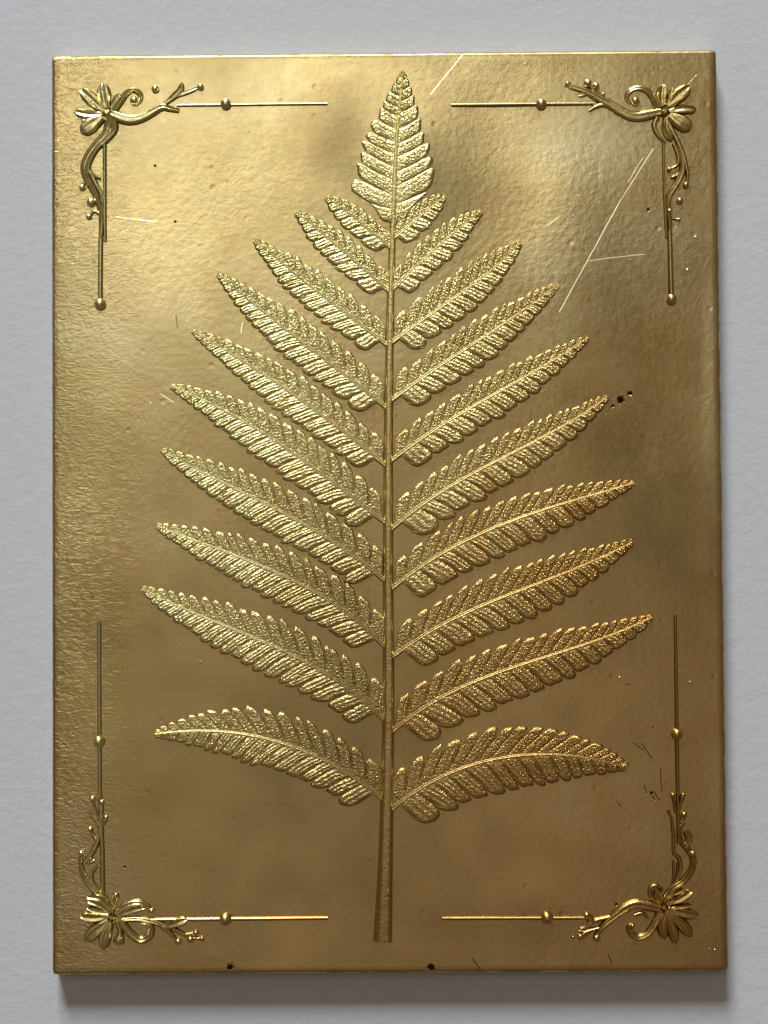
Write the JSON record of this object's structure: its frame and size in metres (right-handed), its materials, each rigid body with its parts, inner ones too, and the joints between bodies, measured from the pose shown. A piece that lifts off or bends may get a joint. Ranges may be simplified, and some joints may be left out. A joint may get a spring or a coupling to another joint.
{
  "type": "fern relief plaque",
  "caption": "Flat rectangular brass plaque with a fern frond in low relief and a flower, scroll and thin rods in each corner.",
  "frame": {"origin": "middle of the flat back face, on the surface that the plaque lies on", "axes": "+X to the right of the picture, +Y to the tip of the frond, +Z out of the face"},
  "size_m": [0.15, 0.206, 0.0081],
  "materials": {
    "plate": "soft worn polish, hand flattened, with light scratches, pits and brown tarnish towards the foot",
    "relief": "cast and lightly polished, brighter on the ridges and dark in the clefts"
  },
  "bodies": {
    "root": {"plate": "plate", "fern_frond": "relief", "corner_ornament_top_left": "relief", "corner_ornament_top_right": "relief", "corner_ornament_bottom_left": "relief", "corner_ornament_bottom_right": "relief"}
  },
  "joints": []
}
